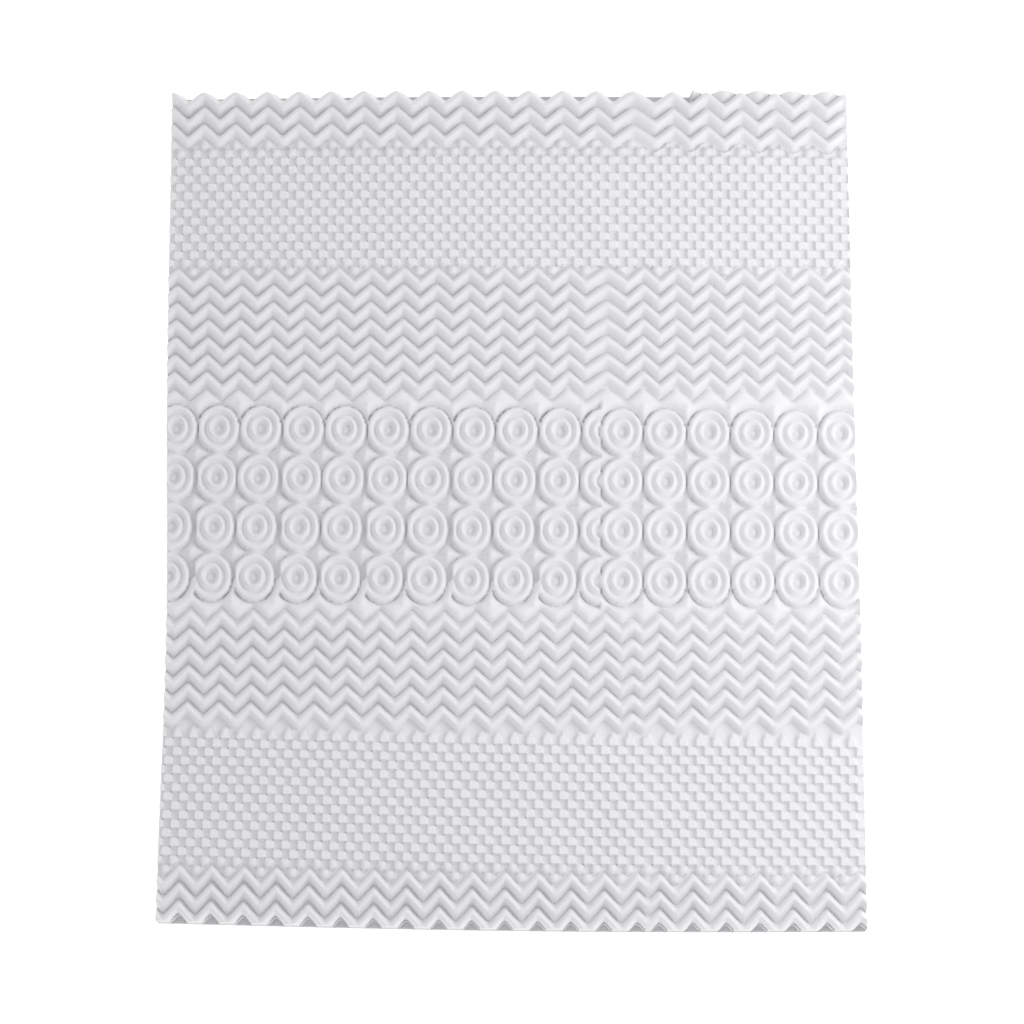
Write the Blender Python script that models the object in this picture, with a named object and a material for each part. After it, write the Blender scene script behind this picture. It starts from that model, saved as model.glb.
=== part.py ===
"""A mattress topper: one slab of soft foam whose upper side is profile cut into seven bands.

The bands run across the bed. From the head they are chevron ridges, a checker of small blocks,
chevron ridges, four rows of round massage rings, chevron ridges, a checker and chevron ridges.
The underside is flat. The origin is at the middle of the underside, +X is across the bed,
+Y points to the head and +Z is up. All sizes are in metres.
"""

import math
from collections import namedtuple

import bmesh
import bpy
from mathutils import Vector, geometry

WIDTH = 1.60
LENGTH = 1.9725
THICKNESS = 0.075
BASE = 0.042  # foam left under the deepest cuts
CHECKER_TOP = 0.068
CHECKER_PIT = 0.052
RING_TOP = 0.070
RING_DISH = 0.055
RING_GAP = 0.046

WAVES_PER_METRE = 13.05  # chevrons across the middle of the pad
WAVE_STRETCH = 0.32  # how much fewer of them there are per metre towards +X
CHECKS_PER_WAVE = 4
WAVES_PER_RING = 4 / 3
RING_SIDES = 8
RING_HALF_WIDTH = 0.034  # middle of the raised ring
RING_HALF_LENGTH = 0.042

HEAD_CUT_SKEW = 0.007  # how far each end of the head cut lies off square, metres
FOOT_CUT_SKEW = -0.0015
SIDE_LEAN = 0.011  # how far the side cuts run to -X at the head and to +X at the foot
END_BOW = 0.0085  # how far the middle of the head and foot edges stands out
SIDE_SWAY = 0.007  # how far the lower half of the pad lies towards +X
MARGIN = 0.05  # foam that the trimming cuts take off all round
SHORTEST_RIM = 0.005  # shorter edges that the trimming leaves along the rim are merged

# Every band as it is cut: its kind, where its first row starts, how many rows it has, how long
# a row is, how far the zigzag swings, and where its waves start, in waves.
Band = namedtuple("Band", "kind start rows row_length swing phase")
BANDS = (
    Band("chevron", 1.0593, 5, 0.0427, 0.030, 0.00),
    Band("checker", 0.8260, 13, 0.0208, 0.0, 0.00),
    Band("chevron", 0.5365, 7, 0.0421, 0.030, 0.00),
    Band("rings", 0.2173, 4, 0.1173, 0.0, 0.25),
    Band("chevron", -0.2864, 6, 0.0427, 0.030, 0.25),
    Band("checker", -0.5610, 14, 0.0207, 0.0, 0.00),
    Band("chevron", -0.8710, 4, 0.0408, 0.035, 0.25),
)

FOAM_WHITE = (0.80, 0.80, 0.82, 1.0)


def clear_scene():
    for obj in list(bpy.data.objects):
        bpy.data.objects.remove(obj, do_unlink=True)


def across(waves):
    """Where the given number of waves from the middle lies, as X."""
    root = math.sqrt(WAVES_PER_METRE**2 - 4 * WAVE_STRETCH * waves)
    return (WAVES_PER_METRE - root) / (2 * WAVE_STRETCH)


def steps_across(step, phase):
    """Every place from edge to edge, each the given number of waves after the last."""
    reach = (WIDTH / 2 + MARGIN) * WAVES_PER_METRE
    first = math.ceil((-reach - phase) / step)
    last = math.floor((reach - phase) / step)
    return [(index, across(index * step + phase)) for index in range(first, last + 1)]


class Relief:
    """The points and creases of the cut side, seen from above, with the height of each point."""

    def __init__(self):
        self.points = []
        self.heights = []
        self.creases = []

    def add(self, x, y, height):
        self.points.append(Vector((x, y)))
        self.heights.append(height)
        return len(self.points) - 1

    def line(self, indices, closed=False):
        self.creases += list(zip(indices, indices[1:]))
        if closed:
            self.creases.append((indices[-1], indices[0]))


def cut_chevron(relief, band):
    """Zigzag ridges side by side: each row is a valley line and a crest line."""
    for half_row in range(2 * band.rows + 1):
        y = band.start - half_row * band.row_length / 2
        height = THICKNESS if half_row % 2 else BASE
        relief.line(
            [
                relief.add(x, y + band.swing / 2 * (1 if index % 2 else -1), height)
                for index, x in steps_across(1 / 2, band.phase)
            ]
        )


def cut_checker(relief, band):
    """Raised blocks and pits by turns, joined corner to corner by the blocks."""
    rows = []
    for row in range(band.rows):
        y = band.start - (row + 0.5) * band.row_length
        cells = {}
        for index, x in steps_across(1 / CHECKS_PER_WAVE, band.phase):
            raised = (index + row) % 2 == 0
            cells[index] = relief.add(x, y, CHECKER_TOP if raised else CHECKER_PIT)
        rows.append(cells)
    for row, (upper, lower) in enumerate(zip(rows, rows[1:])):
        for index, corner in upper.items():
            for other in (index - 1, index + 1):
                if (index + row) % 2 == 0 and other in lower:
                    relief.creases.append((corner, lower[other]))


def cut_rings(relief, band):
    """Rows of round pads, each a raised ring round a dish, with a peak between each four."""
    columns = [x for _, x in steps_across(WAVES_PER_RING, band.phase)]
    for row in range(band.rows):
        y = band.start - (row + 0.5) * band.row_length
        for x in columns:
            relief.add(x, y, RING_DISH)
            turns = [2 * math.pi * (side + 0.5) / RING_SIDES for side in range(RING_SIDES)]
            ring = [
                relief.add(
                    x + RING_HALF_WIDTH * math.cos(turn),
                    y + RING_HALF_LENGTH * math.sin(turn),
                    RING_TOP,
                )
                for turn in turns
            ]
            relief.line(ring, closed=True)
        for left, right in zip(columns, columns[1:]):
            middle = (left + right) / 2
            relief.add(middle, y, RING_GAP)
            if row:
                relief.add(middle, y + band.row_length / 2, RING_TOP)
    for gap in range(band.rows + 1):
        for x in columns:
            relief.add(x, band.start - gap * band.row_length, RING_GAP)


def surface_of(relief):
    """The cut side as a mesh of triangles that keeps every crease."""
    corners, _, faces, sources, _, _ = geometry.delaunay_2d_cdt(
        relief.points, relief.creases, [], 0, 1e-5
    )
    mesh = bmesh.new()
    verts = [
        mesh.verts.new((corner.x, corner.y, relief.heights[source[0]]))
        for corner, source in zip(corners, sources)
    ]
    for face in faces:
        mesh.faces.new([verts[index] for index in face])
    bmesh.ops.recalc_face_normals(mesh, faces=mesh.faces[:])
    if sum(face.normal.z for face in mesh.faces) < 0:
        bmesh.ops.reverse_faces(mesh, faces=mesh.faces[:])
    return mesh


def trim(mesh, point, outward):
    bmesh.ops.bisect_plane(
        mesh,
        geom=mesh.verts[:] + mesh.edges[:] + mesh.faces[:],
        dist=1e-5,
        plane_co=point,
        plane_no=outward,
        clear_outer=True,
    )


def trim_to_size(mesh):
    """The pad is cut from a wider slab, with four straight cuts that run a little off square."""
    lean = 2 * SIDE_LEAN / LENGTH
    trim(mesh, (-WIDTH / 2, 0, 0), (-1, -lean, 0))
    trim(mesh, (WIDTH / 2, 0, 0), (1, lean, 0))
    trim(mesh, (0, LENGTH / 2, 0), (-2 * HEAD_CUT_SKEW / WIDTH, 1, 0))
    trim(mesh, (0, -LENGTH / 2, 0), (2 * FOOT_CUT_SKEW / WIDTH, -1, 0))
    rim = [vert for vert in mesh.verts if vert.is_boundary]
    bmesh.ops.remove_doubles(mesh, verts=rim, dist=SHORTEST_RIM)


def lie_uneven(mesh):
    """The pad lies a little bent: its ends bow out and its lower half sways to +X.

    It is then moved so that the middle of its outline is at the origin.
    """
    for vert in mesh.verts:
        toward_foot = max(0.0, -2 * vert.co.y / LENGTH)
        vert.co.x += SIDE_SWAY * math.sin(math.pi * min(1.0, toward_foot))
        from_middle = 2 * vert.co.y / LENGTH
        vert.co.y += END_BOW * from_middle * math.cos(math.pi * vert.co.x / (WIDTH + MARGIN))
    for axis in (0, 1):
        places = [vert.co[axis] for vert in mesh.verts]
        middle = (min(places) + max(places)) / 2
        for vert in mesh.verts:
            vert.co[axis] -= middle


def close_underside(mesh):
    """The cut sides drop to the flat underside, which is one level face."""
    rim = [edge for edge in mesh.edges if edge.is_boundary]
    made = bmesh.ops.extrude_edge_only(mesh, edges=rim)["geom"]
    for vert in made:
        if isinstance(vert, bmesh.types.BMVert):
            vert.co.z = 0.0
    foot = [edge for edge in mesh.edges if edge.is_boundary]
    underside = bmesh.ops.contextual_create(mesh, geom=foot)["faces"]
    bmesh.ops.poke(mesh, faces=underside)
    bmesh.ops.recalc_face_normals(mesh, faces=mesh.faces[:])


def foam_material():
    material = bpy.data.materials.new("white_foam")
    material.use_nodes = True
    shader = material.node_tree.nodes["Principled BSDF"]
    shader.inputs["Base Color"].default_value = FOAM_WHITE
    shader.inputs["Roughness"].default_value = 0.95
    shader.inputs["Metallic"].default_value = 0.0
    return material


def make_topper():
    relief = Relief()
    cutters = {"chevron": cut_chevron, "checker": cut_checker, "rings": cut_rings}
    for band in BANDS:
        cutters[band.kind](relief, band)
    mesh = surface_of(relief)
    trim_to_size(mesh)
    lie_uneven(mesh)
    close_underside(mesh)
    data = bpy.data.meshes.new("foam_pad")
    mesh.to_mesh(data)
    mesh.free()
    data.materials.append(foam_material())
    topper = bpy.data.objects.new("foam_pad", data)
    bpy.context.scene.collection.objects.link(topper)


clear_scene()
make_topper()
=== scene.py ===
import math
from bisect import bisect
from collections import namedtuple

import bmesh
import bpy
from mathutils import Matrix, Vector, noise


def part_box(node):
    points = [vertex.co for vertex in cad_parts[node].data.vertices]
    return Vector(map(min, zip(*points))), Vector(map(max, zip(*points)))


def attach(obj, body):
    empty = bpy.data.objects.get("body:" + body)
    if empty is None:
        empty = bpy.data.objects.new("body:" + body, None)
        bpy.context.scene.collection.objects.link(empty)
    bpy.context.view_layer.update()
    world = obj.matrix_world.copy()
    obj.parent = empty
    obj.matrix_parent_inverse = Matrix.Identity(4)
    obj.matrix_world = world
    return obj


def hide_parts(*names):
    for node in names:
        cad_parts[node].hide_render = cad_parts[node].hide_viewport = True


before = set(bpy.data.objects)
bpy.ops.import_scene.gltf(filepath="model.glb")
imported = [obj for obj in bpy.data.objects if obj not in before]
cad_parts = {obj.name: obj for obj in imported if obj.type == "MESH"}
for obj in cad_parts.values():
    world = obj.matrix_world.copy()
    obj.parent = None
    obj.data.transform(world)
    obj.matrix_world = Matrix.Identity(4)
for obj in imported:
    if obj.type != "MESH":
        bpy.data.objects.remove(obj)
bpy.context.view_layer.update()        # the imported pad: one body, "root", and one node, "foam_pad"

# ---- The cut side of the foam pad ------------------------------------------------------------
# The topper is one slab of soft white foam. Rollers press it into a blade, which cuts the upper
# side into seven bands: zigzag ridges, a checker of small blocks, ridges, four rows of rings,
# ridges, a checker and ridges again. Every number below is in metres, measured on the pad.

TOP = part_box("foam_pad")[1].z
VALLEY = 0.048  # foam left under the valleys between two ridges
BORDER_FLOOR = 0.054  # and where two bands meet
REACH = 0.835  # how far to each side of the middle the foam is cut before it is trimmed

# Each band, from the head. Along the bed: where its first row starts, which is at the zigzag's
# lowest bends, how many rows it has, how long a row is, how far its zigzag swings, and how far
# its rows climb for each metre to the right. Across the pad, in waves of the roller: where the
# first one starts, how long it is, how much longer each is than the one before, and the wave from
# which they stay the same. Last the seam, where the roller's pattern closes: its place, how far
# the waves shift there, and over what width.
EVERY_WAVE = 99  # more waves than there are across the pad
Band = namedtuple("Band", "start rows row swing slope first wave growth steady seam shift spread")
HEAD_RIDGES = Band(1.0525, 5, 0.0427, 0.030, 0.0015, -0.7782, 0.07443, 0.00054, 13, 0.290, 0.0195, 0.10)
HEAD_CHECKER = Band(
    0.8665, 17, 0.02082, 0, 0.0095, -0.7640, 0.07520, 0.00032, EVERY_WAVE, 0.240, 0.0090, 0.09
)
UPPER_RIDGES = Band(0.5300, 7, 0.04207, 0.030, 0.0095, -0.7538, 0.07498, 0.00037, 8, 0.205, 0.0190, 0.09)
RINGS = Band(0.2173, 4, 0.1173, 0, 0, -0.7810, 0.09800, 0.00030, EVERY_WAVE, 0.206, 0.0425, 0)
LOWER_RIDGES = Band(
    -0.2959, 6, 0.0427, 0.030, 0.0010, -0.7730, 0.07199, 0.00022, EVERY_WAVE, 0.281, -0.0265, 0
)
FOOT_CHECKER = Band(
    -0.5525, 17, 0.0207, 0, -0.0045, -0.7482, 0.07182, 0.00029, EVERY_WAVE, 0.320, 0.0080, 0.06
)
FOOT_RIDGES = Band(
    -0.8895, 3, 0.0408, 0.035, -0.0035, -0.7055, 0.07300, 0.00016, EVERY_WAVE, 0.3205, -0.0255, 0
)


def ease(t):
    """0 to 1 in a soft step."""
    t = min(1.0, max(0.0, t))
    return t * t * (3 - 2 * t)


def place_of(band, wave):
    """How far across the pad a wave of this band starts, before the shift at the seam."""
    growing = min(wave, band.steady)
    return band.first + band.wave * wave + band.growth * growing * (wave - growing / 2)


WAVES = range(-2, 26)  # enough of them to pass both sides of the pad
SEAM_GAP = 0.001  # between the points on either side of a seam that breaks off


def columns_of(band, phases):
    """The columns of points across a band, as (x, wave), at these phases of every wave.

    A band with a spread shifts softly at the seam. The others break off there and start again.
    """
    found = []
    for whole in WAVES:
        for phase in phases:
            wave = whole + phase
            x = place_of(band, wave)
            if band.spread:
                found.append((x + band.shift * ease((x - band.seam) / band.spread + 0.5), wave))
                continue
            if x < band.seam - SEAM_GAP:
                found.append((x, wave))
            if x + band.shift > band.seam + SEAM_GAP:
                found.append((x + band.shift, wave))
    return sorted(column for column in found if abs(column[0]) < REACH)


BEND_SHARPNESS = 0.94  # 1 is a zigzag of straight lines


def zigzag(wave):
    """0 at the bends towards the foot, which are at whole waves, and 1 at those between."""
    bent = math.asin(BEND_SHARPNESS * math.cos(2 * math.pi * wave))
    return 0.5 - bent / (2 * math.asin(BEND_SHARPNESS))


def lift_along(band):
    """How far the band's zigzag stands above its lowest bends, as a function of x."""
    columns = columns_of(band, RIDGE_PHASES)
    places = [x for x, _ in columns]
    lifts = [band.slope * x + band.swing * zigzag(wave) for x, wave in columns]

    def lift(x):
        after = min(max(bisect(places, x), 1), len(places) - 1)
        part = (x - places[after - 1]) / (places[after] - places[after - 1])
        return lifts[after - 1] + (lifts[after] - lifts[after - 1]) * min(1, max(0, part))

    return lift


def lay_band(columns, rows, place):
    """A grid of quads, each point put by place(x, wave, row, row's number). Returns its borders."""
    across, along = len(columns) - 1, len(rows) - 1
    made = bmesh.ops.create_grid(foam, x_segments=across, y_segments=along, size=0.5)["verts"]
    borders = {0: set(), along: set()}
    for vert in made:
        x, wave = columns[round((vert.co.x + 0.5) * across)]
        number = round((0.5 - vert.co.y) * along)
        if number in borders:
            borders[number].add(vert)
        vert.co = place(x, wave, rows[number], number)
    return [
        [edge for edge in foam.edges if edge.verts[0] in side and edge.verts[1] in side]
        for side in (borders[0], borders[along])
    ]


# The ridges are round-backed fingers of foam side by side, with a valley between each two. They
# are full height, so the sleeper lies on them. The outermost ones are torn at the trimmed edges.

RIDGE_STEPS = (0.0, 0.10, 0.24, 0.38, 0.50, 0.62, 0.76, 0.90)  # points up and over one ridge
RIDGE_PHASES = (0.0, 0.07, 0.25, 0.43, 0.50, 0.57, 0.75, 0.93)  # and along one wave of it
RIDGE_ROUNDNESS = 1.25  # 1 is a half sine, and more is a sharper back
RIDGE_MARGIN = 0.02  # of a row, left for the border with the next band
TORN_EDGE = (0.13, 0.08)  # of a row, from the last crest's foot down to the torn foam
TORN_FOAM = 0.022  # height of the foam past the outermost valleys, where a ridge is torn away
TORN_MARGIN = 0.05  # of a row
TORN_UNTIL = 0.42  # to the right of this the ridge at the head is left in the bends


def lay_ridges(band, torn_rows=0, torn_end=0):
    """Ridges over one band. Its first torn_rows, or torn_end rows past its last, are torn away."""
    rows = [ridge + step for ridge in range(band.rows) for step in RIDGE_STEPS] + [band.rows]
    rows[0], rows[-1] = RIDGE_MARGIN, band.rows - RIDGE_MARGIN
    if torn_end:
        rows[-1:] = [*(band.rows - edge for edge in TORN_EDGE), band.rows + torn_end]
    last = len(rows) - 1

    def place(x, wave, row, number):
        y = band.start + band.slope * x - row * band.row + band.swing * zigzag(wave)
        torn_at_head = row < torn_rows - TORN_MARGIN and x < TORN_UNTIL
        torn_at_foot = torn_end and row > band.rows - 2 * TORN_MARGIN
        if torn_at_head or torn_at_foot:
            return x, y, TORN_FOAM
        if number in (0, last):
            return x, y, BORDER_FLOOR
        back = math.sin(math.pi * (row % 1)) ** RIDGE_ROUNDNESS
        return x, y, VALLEY + (TOP - VALLEY) * back

    return lay_band(columns_of(band, RIDGE_PHASES), rows, place)


# The checkers are low square blocks and pits by turns, four to a wave. They fill the bends of
# the ridges next to them, so the cells along both borders are cut slantwise.

BLOCK_TOP = 0.068
PIT = 0.0575
CELLS = 4  # to a wave
CELL_STEPS = (0.11, 0.5, 0.89)  # points over one cell; its wall is between two cells' points
BORDER_GAP = 0.0025  # half of the valley between a checker or the rings and the next ridge
ROW_GAP = 0.0004  # between two rows of points that are drawn up along a border
BORDER_STEEPNESS = 4.0  # how fast a block rises from the border's valley


def upper_border(above, lift, x):
    """Where the last ridge of the band above ends."""
    return above.start - above.rows * above.row + lift(x)


def between_borders(y, number, last, upper, lower):
    """Keeps a row inside the two zigzag borders. Rows past a border are drawn up along it."""
    y = min(y, upper - BORDER_GAP - ROW_GAP * number)
    return max(y, lower + BORDER_GAP + ROW_GAP * (last - number))


def lay_checker(band, above, below):
    upper_lift, lower_lift = lift_along(above), lift_along(below)
    rows = [cell + step for cell in range(band.rows) for step in CELL_STEPS]
    last = len(rows) - 1
    phases = [(cell + step) / CELLS for cell in range(CELLS) for step in CELL_STEPS]

    def place(x, wave, row, number):
        upper, lower = upper_border(above, upper_lift, x), below.start + lower_lift(x)
        start = band.start + band.slope * x
        y = between_borders(start - row * band.row, number, last, upper, lower)
        cell = math.floor((start - y) / band.row)
        raised = (math.floor(CELLS * wave) + cell) % 2
        from_border = min(upper - y, y - lower)
        height = BLOCK_TOP if raised else PIT
        return x, y, min(height, BORDER_FLOOR + BORDER_STEEPNESS * from_border)

    return lay_band(columns_of(band, phases), rows, place)


# The rings are massage pads: a raised rim, a fine groove, a round bolster and a small dish with
# a knob in it. The foam left between four of them stands up as a low pyramid with a dot, and
# what is left against the ridges is a row of mounds.

RING_LENGTH = 1.15  # how much longer a ring is up the bed than across
RING_OUTLINE = 0.0490
RING_PROFILE = (  # distance from the middle of the ring, and height
    (0.0, 0.0605), (0.0095, 0.0530), (0.0205, 0.0705), (0.0305, 0.0575), (0.0400, 0.0695),
    (0.0455, 0.0665), (0.0510, 0.0470),
)
RING_GAP = 0.047  # height of the foam between the rings
RING_COLUMN_STEPS = 22  # points across one ring
RING_ROW_STEPS = 24  # and along it
RING_SPARE_ROWS = 9  # rows of points past the first and the last row of rings
RING_LEAN = 0.022  # how the columns left of the seam drift to the left, for each metre down
PYRAMID_HALF_WIDTH = 0.034
PYRAMID_HALF_LENGTH = 0.027
PYRAMID_TOP = 0.069
DOT_HEIGHT = 0.005
DOT_RADIUS = 0.0045
NECK_HEIGHT = 0.011  # of the foam that joins each ring to the next one down the bed
NECK_HALF_WIDTH = 0.018
NECK_REACH = 0.007
MOUND_HEIGHT = 0.023
MOUND_STEEPNESS = 2.0
MOUND_DOT_FROM = 0.014  # how far inside a mound its dot stands at full height, near enough
BORDER_SHARE = 0.8  # a zigzag border lies this much nearer than straight down the bed
RING_CUT_STEEPNESS = 3.0  # how fast a ring that is cut by the border rises from it


def height_of_ring(distance):
    """The turned profile of a ring, in soft steps between its given points."""
    for (near, low), (far, high) in zip(RING_PROFILE, RING_PROFILE[1:]):
        if distance < far:
            turn = math.pi * (distance - near) / (far - near)
            return low + (high - low) * (1 - math.cos(turn)) / 2
    return RING_GAP


def height_of_mound(from_border, from_ring, dot):
    """What is left between two rings and the ridges: a round mound with a dot on it."""
    inside = min(from_border, 1.05 * from_ring)
    rise = MOUND_HEIGHT * math.tanh(max(0.0, inside) * MOUND_STEEPNESS / MOUND_HEIGHT)
    return RING_GAP + rise + dot * ease(inside / MOUND_DOT_FROM - 0.5)


def height_of_pyramid(from_corner_x, from_corner_y, dot):
    slope = (
        1
        - abs(from_corner_x) / PYRAMID_HALF_WIDTH
        - abs(from_corner_y) / PYRAMID_HALF_LENGTH
    )
    return RING_GAP + (PYRAMID_TOP - RING_GAP) * slope + dot


def height_of_neck(over, from_corner_y):
    side = math.exp(-((over / NECK_HALF_WIDTH) ** 2))
    return RING_GAP + NECK_HEIGHT * side * ease(1.6 - from_corner_y / NECK_REACH)


def lay_rings(band, above, below):
    upper_lift, lower_lift = lift_along(above), lift_along(below)
    steps = band.rows * RING_ROW_STEPS + RING_SPARE_ROWS
    rows = [step / RING_ROW_STEPS for step in range(-RING_SPARE_ROWS, steps + 1)]
    last = len(rows) - 1

    def place(x, wave, row, number):
        upper, lower = upper_border(above, upper_lift, x), below.start + lower_lift(x)
        y = between_borders(band.start - row * band.row, number, last, upper, lower)
        nearest = round(wave)
        ring = min(band.rows - 1, max(0, math.floor((band.start - y) / band.row)))
        ring_y = band.start - (ring + 0.5) * band.row
        ring_x = place_of(band, nearest)
        if x > band.seam:
            ring_x += band.shift
        else:
            ring_x += RING_LEAN * (ring_y - band.start)
        pitch = band.wave + band.growth * nearest
        over, up = x - ring_x, y - ring_y
        distance = math.hypot(over, up / RING_LENGTH)
        from_corner_x = pitch / 2 - abs(over)
        from_corner_y = band.row / 2 - abs(up)
        from_corner = math.hypot(from_corner_x, from_corner_y)
        dot = DOT_HEIGHT * math.exp(-((from_corner / DOT_RADIUS) ** 2))
        height = height_of_ring(distance)
        in_first_row = ring == 0 and up > 0
        in_last_row = ring == band.rows - 1 and up < 0
        if in_first_row or in_last_row:
            from_border = BORDER_SHARE * (upper - y if in_first_row else y - lower)
            if distance >= RING_OUTLINE:
                height = 0
            height = max(height, height_of_mound(from_border, distance - RING_OUTLINE, dot))
            return x, y, min(height, VALLEY + RING_CUT_STEEPNESS * from_border)
        height = max(height, height_of_pyramid(from_corner_x, from_corner_y, dot))
        return x, y, max(height, height_of_neck(over, from_corner_y))

    phases = [step / RING_COLUMN_STEPS for step in range(RING_COLUMN_STEPS)]
    return lay_band(columns_of(band, phases), rows, place)


foam = bmesh.new()
bands = [
    lay_ridges(HEAD_RIDGES, torn_rows=2),
    lay_checker(HEAD_CHECKER, HEAD_RIDGES, UPPER_RIDGES),
    lay_ridges(UPPER_RIDGES),
    lay_rings(RINGS, UPPER_RIDGES, LOWER_RIDGES),
    lay_ridges(LOWER_RIDGES),
    lay_checker(FOOT_CHECKER, LOWER_RIDGES, FOOT_RIDGES),
    lay_ridges(FOOT_RIDGES, torn_end=1.2),
]
for (_, foot_side), (head_side, _) in zip(bands, bands[1:]):
    bmesh.ops.bridge_loops(foam, edges=foot_side + head_side)

# ---- Trimming the pad, its sides and its underside -------------------------------------------
# The cut slab is trimmed to 160 x 200 cm by four straight cuts, a little off square. It lies
# slightly bent, as soft foam does: its lower half sways to the right and both ends bow out.

CUTS = {  # the two ends of each cut, seen from above
    "left": ((-0.8180, 0.98), (-0.7930, -0.98)),
    "right": ((0.7905, 0.98), (0.8125, -0.98)),
    "head": ((-0.8180, 0.9790), (0.7905, 0.9930)),
    "foot": ((-0.794, -0.9870), (0.816, -0.9885)),
}
BOW = 0.0087  # how much longer the pad is down its middle than along its sides, as a share
LIP = 0.012  # height of a line of points round the sides, just over the underside
SWAY, SWAY_PLACE, SWAY_LENGTH = 0.007, -0.33, 0.42  # most in the lower half of the pad
UNEVENNESS = 0.0007
UNEVEN_PATCHES = 28  # to the metre


def sway(x, y):
    """How far the pad lies to the right of straight at this place."""
    return (SWAY - 0.005 * x) * math.exp(-(((y - SWAY_PLACE) / SWAY_LENGTH) ** 2))


for vert in foam.verts:
    vert.co.x -= sway(vert.co.x, vert.co.y)
for side, (start, end) in CUTS.items():
    along = Vector((end[0] - start[0], end[1] - start[1], 0))
    outward = Vector((along.y, -along.x, 0)) * (-1 if side in ("right", "head") else 1)
    bmesh.ops.bisect_plane(
        foam, geom=foam.verts[:] + foam.edges[:] + foam.faces[:], dist=1e-5,
        plane_co=(*start, 0), plane_no=outward, clear_outer=True,
    )
for vert in foam.verts:
    x, y = vert.co.x, vert.co.y
    vert.co.x += sway(x, y)
    vert.co.y *= 1 + BOW * math.cos(math.pi * (x - 0.08) / 1.7)
    patch = Vector((x * UNEVEN_PATCHES, y * UNEVEN_PATCHES, 0.0))
    vert.co.z += UNEVENNESS * noise.noise(patch)

rim = [edge for edge in foam.edges if edge.is_boundary]
for edge in rim:
    edge.smooth = False
for height in (LIP, 0.0):
    lower = [edge for edge in foam.edges if edge.is_boundary]
    for item in bmesh.ops.extrude_edge_only(foam, edges=lower)["geom"]:
        if isinstance(item, bmesh.types.BMVert):
            item.co.z = height
foot = [edge for edge in foam.edges if edge.is_boundary]
for edge in foot:
    edge.smooth = False
bmesh.ops.contextual_create(foam, geom=foot)
bmesh.ops.recalc_face_normals(foam, faces=foam.faces[:])
for face in foam.faces:
    face.smooth = True

# The foam is smooth to the eye everywhere but on the blocks, which have crisp edges.
BLOCK_EDGE = math.radians(32)
CHECKERS = ((0.56, 0.83), (-0.85, -0.56))  # along the bed
for edge in foam.edges:
    middle = (edge.verts[0].co.y + edge.verts[1].co.y) / 2
    in_checker = any(foot_end < middle < head_end for foot_end, head_end in CHECKERS)
    if in_checker and edge.is_manifold and edge.calc_face_angle() > BLOCK_EDGE:
        edge.smooth = False

pad_mesh = bpy.data.meshes.new("pad")
foam.to_mesh(pad_mesh)
foam.free()
pad = bpy.data.objects.new("pad", pad_mesh)
bpy.context.scene.collection.objects.link(pad)

# ---- The foam's finish and painted shade -----------------------------------------------------
# Bare open-cell foam, cut with a blade: matt, slightly cool white, with fine open cells and a
# faint unevenness from the cut. Its colour has painted shade, greyer the lower the foam lies.

# The deep colour is painted shade: the grey given to the foam where it lies lowest, in the valleys,
# pits, ring dishes and torn foam.
FOAM_IN_PAINTED_SHADE = (0.66, 0.658, 0.68, 1.0)
HIGH_FOAM = (0.965, 0.96, 0.98, 1.0)
DEEPEST, HIGHEST = 0.020, 0.067  # the heights that those two colours are for
CELLS_TO_METRE = 850.0
GRAIN_TO_METRE = 140.0
PATCHES_TO_METRE = 9.0


class Wire:
    """A socket of a material. A sum written with it adds the Math nodes that work it out."""

    def __init__(self, tree, socket):
        self.tree = tree
        self.socket = socket

    def node(self, kind, settings=(), sockets=(), output=0):
        """A new node: its settings first, then its sockets by name or number."""
        made = self.tree.nodes.new(kind)
        for name, value in dict(settings).items():
            setattr(made, name, value)
        for name, value in dict(sockets).items():
            if isinstance(value, Wire):
                self.tree.links.new(value.socket, made.inputs[name])
            else:
                made.inputs[name].default_value = value
        return Wire(self.tree, made.outputs[output])

    def math(self, operation, *terms):
        return self.node("ShaderNodeMath", {"operation": operation}, enumerate(terms))

    def __add__(self, other):
        return self.math("ADD", self, other)

    def __sub__(self, other):
        return self.math("SUBTRACT", self, other)

    def __rsub__(self, other):
        return self.math("SUBTRACT", other, self)

    def __mul__(self, other):
        return self.math("MULTIPLY", self, other)

    __radd__ = __add__
    __rmul__ = __mul__


foam_white = bpy.data.materials.new("bare_foam")
foam_white.use_nodes = True
tree = foam_white.node_tree
shader = tree.nodes["Principled BSDF"]
place = Wire(tree, None).node("ShaderNodeTexCoord", output="Object")
height = place.node("ShaderNodeSeparateXYZ", sockets={"Vector": place}, output="Z")
cells = place.node(
    "ShaderNodeTexVoronoi",
    {"feature": "F1"},
    {"Vector": place, "Scale": CELLS_TO_METRE, "Randomness": 1.0},
    "Distance",
)
grain = place.node(
    "ShaderNodeTexNoise",
    sockets={"Vector": place, "Scale": GRAIN_TO_METRE, "Detail": 4.0, "Roughness": 0.6},
    output="Fac",
)
patches = place.node(
    "ShaderNodeTexNoise",
    sockets={"Vector": place, "Scale": PATCHES_TO_METRE, "Detail": 2.0, "Roughness": 0.5},
    output="Fac",
)
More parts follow.
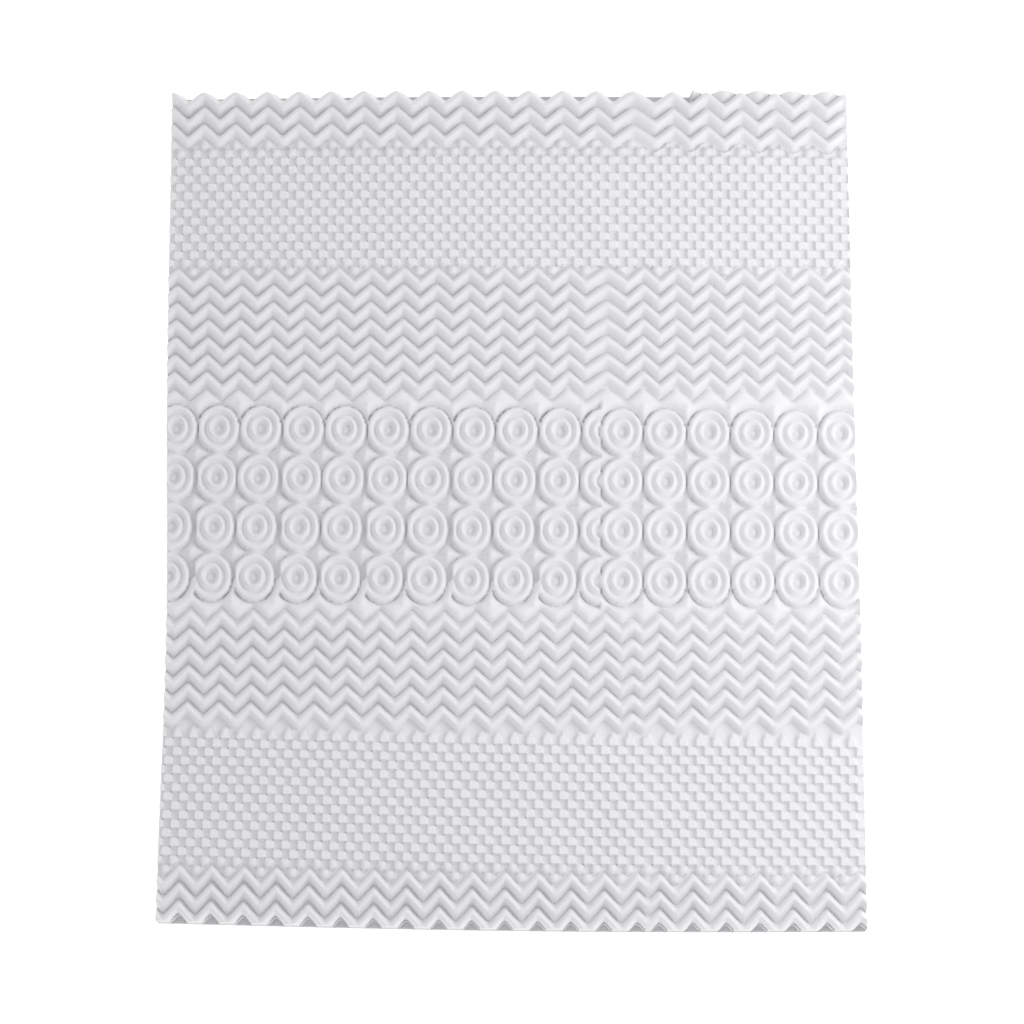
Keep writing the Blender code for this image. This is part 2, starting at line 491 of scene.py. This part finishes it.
# The base colour is painted shade by height, mixed with the foam's own random tone from the patches and
# the grain.
rise = place.node(
    "ShaderNodeMapRange",
    {"interpolation_type": "LINEAR"},
    {"Value": height, "From Min": DEEPEST, "From Max": HIGHEST},
    "Result",
)
shade_and_tone = rise * 0.8 + patches * 0.12 + grain * 0.08
colour = place.node(
    "ShaderNodeMix", {"data_type": "RGBA"}, {"Factor": shade_and_tone, 6: FOAM_IN_PAINTED_SHADE, 7: HIGH_FOAM}, 2
)
relief = grain * 0.6 + cells * 0.4
bumps = place.node(
    "ShaderNodeBump", sockets={"Strength": 0.5, "Distance": 0.0012, "Height": relief}, output="Normal"
)
tree.links.new(colour.socket, shader.inputs["Base Color"])
tree.links.new(bumps.socket, shader.inputs["Normal"])
shader.inputs["Roughness"].default_value = 1.0
shader.inputs["Specular IOR Level"].default_value = 0.15
shader.inputs["Subsurface Weight"].default_value = 0.0
pad.data.materials.append(foam_white)

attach(pad, "root")
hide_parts("foam_pad")

# ---- Floor, light and camera -----------------------------------------------------------------
# A plain white floor, a soft light all round, and one large soft lamp at the right. The camera
# looks down on the pad from above its foot end.

floor_mesh = bmesh.new()
bmesh.ops.create_grid(floor_mesh, x_segments=1, y_segments=1, size=30.0)
floor_data = bpy.data.meshes.new("floor")
floor_mesh.to_mesh(floor_data)
floor_mesh.free()
floor = bpy.data.objects.new("floor", floor_data)
bpy.context.scene.collection.objects.link(floor)
floor_white = bpy.data.materials.new("floor_white")
floor_white.use_nodes = True
paper = floor_white.node_tree.nodes["Principled BSDF"]
paper.inputs["Base Color"].default_value = (0.92, 0.92, 0.92, 1.0)
paper.inputs["Roughness"].default_value = 0.9
paper.inputs["Emission Color"].default_value = (1.0, 1.0, 1.0, 1.0)
paper.inputs["Emission Strength"].default_value = 0.55
floor_data.materials.append(floor_white)

world = bpy.data.worlds.new("soft_room")
world.use_nodes = True
world.node_tree.nodes["Background"].inputs["Color"].default_value = (1.0, 1.0, 1.0, 1.0)
world.node_tree.nodes["Background"].inputs["Strength"].default_value = 0.69
bpy.context.scene.world = world

lamp_data = bpy.data.lights.new("right_lamp", "AREA")
lamp_data.shape = "RECTANGLE"
lamp_data.size = 1.6
lamp_data.size_y = 1.6
lamp_data.energy = 27.0
lamp = bpy.data.objects.new("right_lamp", lamp_data)
lamp.location = (2.2, 0.1, 2.0)
lamp.rotation_euler = (Vector((0.2, 0.0, 0.0)) - lamp.location).to_track_quat("-Z", "Y").to_euler()
bpy.context.scene.collection.objects.link(lamp)

CAMERA_DISTANCE = 7.6
CAMERA_TILT = 0.2182
CAMERA_TURN = 0.0097
camera_data = bpy.data.cameras.new("camera")
camera_data.lens = 114.2
camera_data.shift_x = 0.0009
camera_data.shift_y = -0.0085
camera = bpy.data.objects.new("camera", camera_data)
away = Vector((
    math.sin(CAMERA_TILT) * math.sin(CAMERA_TURN),
    -math.sin(CAMERA_TILT) * math.cos(CAMERA_TURN),
    math.cos(CAMERA_TILT),
))
camera.matrix_world = (
    Matrix.Translation(away * CAMERA_DISTANCE)
    @ away.to_track_quat("Z", "Y").to_matrix().to_4x4()
)
bpy.context.scene.collection.objects.link(camera)
bpy.context.scene.camera = camera
bpy.context.scene.view_settings.view_transform = "Standard"
